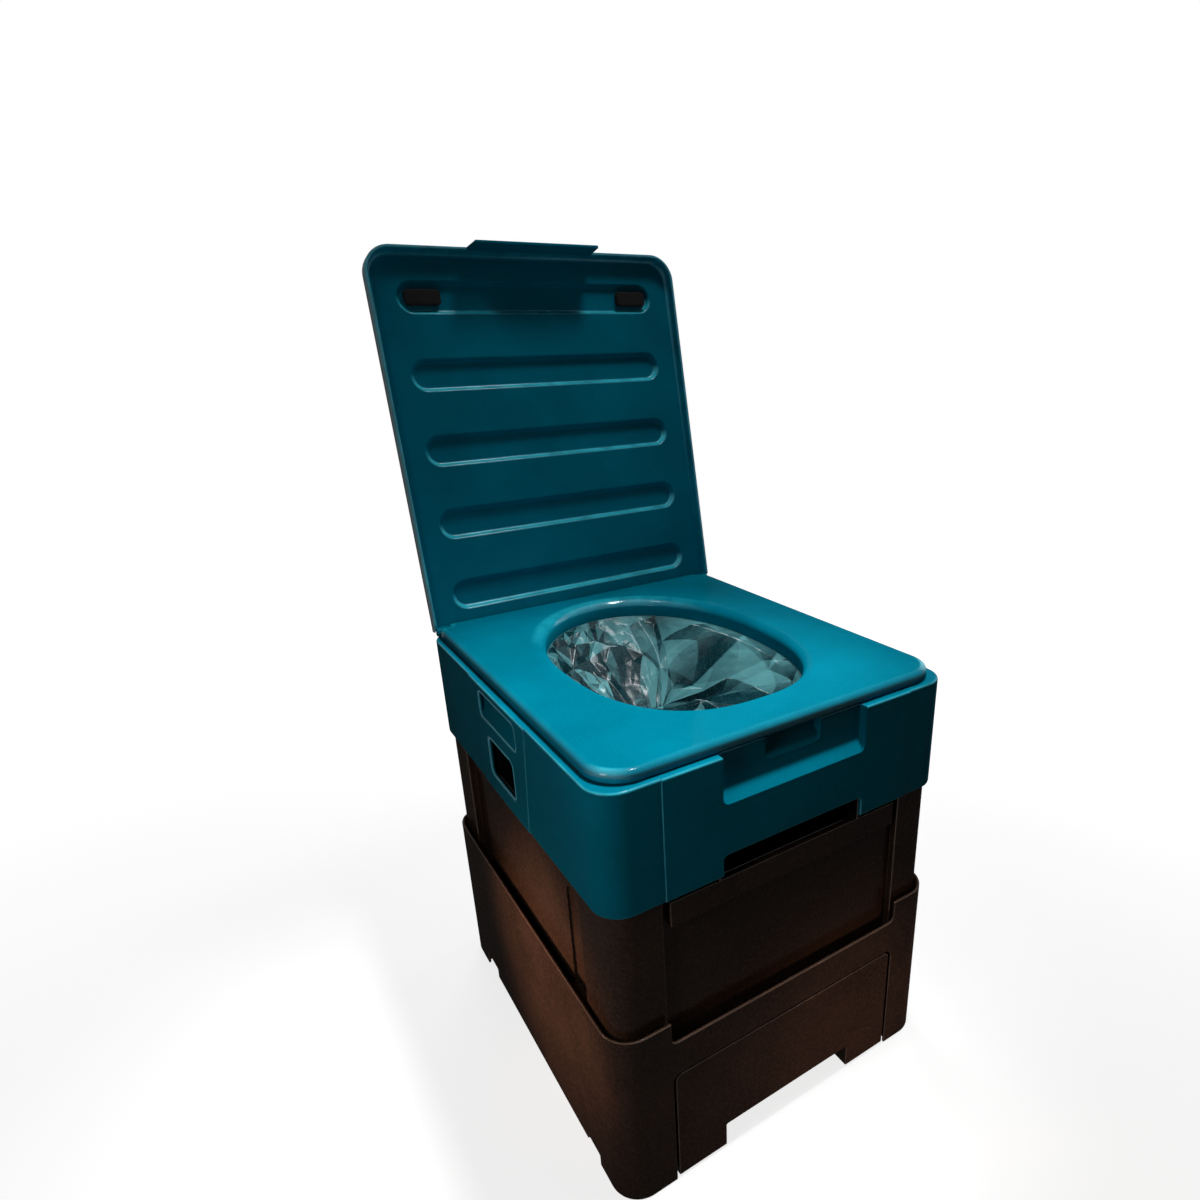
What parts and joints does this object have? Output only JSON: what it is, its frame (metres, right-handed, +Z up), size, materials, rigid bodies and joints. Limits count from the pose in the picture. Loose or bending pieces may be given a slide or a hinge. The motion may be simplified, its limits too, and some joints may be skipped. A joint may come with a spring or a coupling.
{
  "type": "waterless sealing toilet",
  "caption": "Box-shaped dry toilet with a drawer base, lift-off sealing unit, film-lined bowl, hinged seat and hinged lid with channels.",
  "frame": {"origin": "on the floor under the middle of the upper case", "axes": "+Z up, front towards -Y, right side (seen from the front) towards +X"},
  "size_m": [0.389, 0.5099, 0.8647],
  "materials": {
    "dark_shell": "fine-grained satin, near black with a brown cast",
    "teal_case": "satin-gloss teal with a fine sparkle",
    "teal_seat": "gloss teal with a fine sparkle",
    "teal_lid": "satin-gloss teal with a fine sparkle",
    "black_trim": "matte black",
    "inner_grey": "moulded grey",
    "rubber_black": "matte black rubber",
    "steel": "brushed",
    "aluminium": "machined",
    "brass": "turned",
    "motor_paint": "grey enamel",
    "silicone_red": "smooth silicone",
    "board_green": "solder mask",
    "button_grey": "glossy light grey",
    "film": "thin crinkled translucent film with a silvery sheen"
  },
  "bodies": {
    "base": {"base_shell": "dark_shell", "drawer_runners": "steel"},
    "drawer": {"drawer_front": "dark_shell", "drawer_tub": "inner_grey"},
    "unit": {"body_shell": "dark_shell", "front_band": "dark_shell", "grip_pocket": "black_trim", "case_shell": "teal_case", "case_deck": "inner_grey", "deck_screws": "steel", "drop_chute": "inner_grey", "seal_frame": "steel", "guide_rods": "steel", "spindle_bearings": "brass", "motor_bracket": "steel", "gearmotor": "motor_paint", "sync_belt": "rubber_black", "cassette_shelf": "inner_grey", "cassette_tray": "inner_grey", "liner_pack": "film", "cassette_cover": "inner_grey", "liner_film": "film", "port_bay": "black_trim", "power_socket": "steel", "button_switch": "black_trim", "button_spring": "steel", "control_box": "black_trim", "control_board": "board_green", "hinge_brackets": "black_trim", "seat_pins": "steel", "bracket_screws": "steel"},
    "seat": {"seat_plate": "teal_seat", "seat_buffers": "rubber_black"},
    "lid": {"lid_shell": "teal_lid", "lid_bumpers": "rubber_black", "lid_pins": "steel"},
    "jaw_rear": {"jaw_rear": "aluminium", "heater_bar": "brass"},
    "jaw_front": {"jaw_front": "aluminium", "seal_pad": "silicone_red"},
    "spindle_left": {"spindle_left": "steel", "pulley_left": "aluminium"},
    "spindle_right": {"spindle_right": "steel", "pulley_right": "aluminium"},
    "button": {"start_button": "button_grey"}
  },
  "joints": [
    {"name": "drawer_slide", "type": "slide", "parent": "base", "child": "drawer", "axis": [0, -1, 0], "range_m": [0, 0.25]},
    {"name": "unit_lift", "type": "slide", "parent": "base", "child": "unit", "axis": [0, 0, 1], "range_m": [0, 0.25]},
    {"name": "seat_hinge", "type": "hinge", "parent": "unit", "child": "seat", "pos_m": [0, 0.222, 0.438], "axis": [-1, 0, 0], "range_deg": [0, 80]},
    {"name": "lid_hinge", "type": "hinge", "parent": "seat", "child": "lid", "pos_m": [0, 0.204, 0.4476], "axis": [1, 0, 0], "range_deg": [0, 100.6]},
    {"name": "jaw_rear_slide", "type": "slide", "parent": "unit", "child": "jaw_rear", "axis": [0, 1, 0], "range_m": [0, 0.042]},
    {"name": "jaw_front_slide", "type": "slide", "parent": "unit", "child": "jaw_front", "axis": [0, -1, 0], "range_m": [0, 0.042]},
    {"name": "spindle_left_spin", "type": "hinge", "parent": "unit", "child": "spindle_left", "pos_m": [-0.088, 0, 0.31], "axis": [0, 1, 0], "range_deg": [0, 757]},
    {"name": "spindle_right_spin", "type": "hinge", "parent": "unit", "child": "spindle_right", "pos_m": [0.088, 0, 0.31], "axis": [0, 1, 0], "range_deg": [0, 757]},
    {"name": "button_press", "type": "slide", "parent": "unit", "child": "button", "axis": [1, 0, 0], "range_m": [0, 0.003], "stiffness_N_per_m": 300, "springref_m": -0.001, "deforming": ["button_spring"]}
  ],
  "couplings": [
    {"joint": "jaw_front_slide", "follows": "jaw_rear_slide", "ratio": 1},
    {"joint": "spindle_left_spin", "follows": "jaw_rear_slide", "rad_per_m": 314.16},
    {"joint": "spindle_right_spin", "follows": "jaw_rear_slide", "rad_per_m": 314.16}
  ]
}
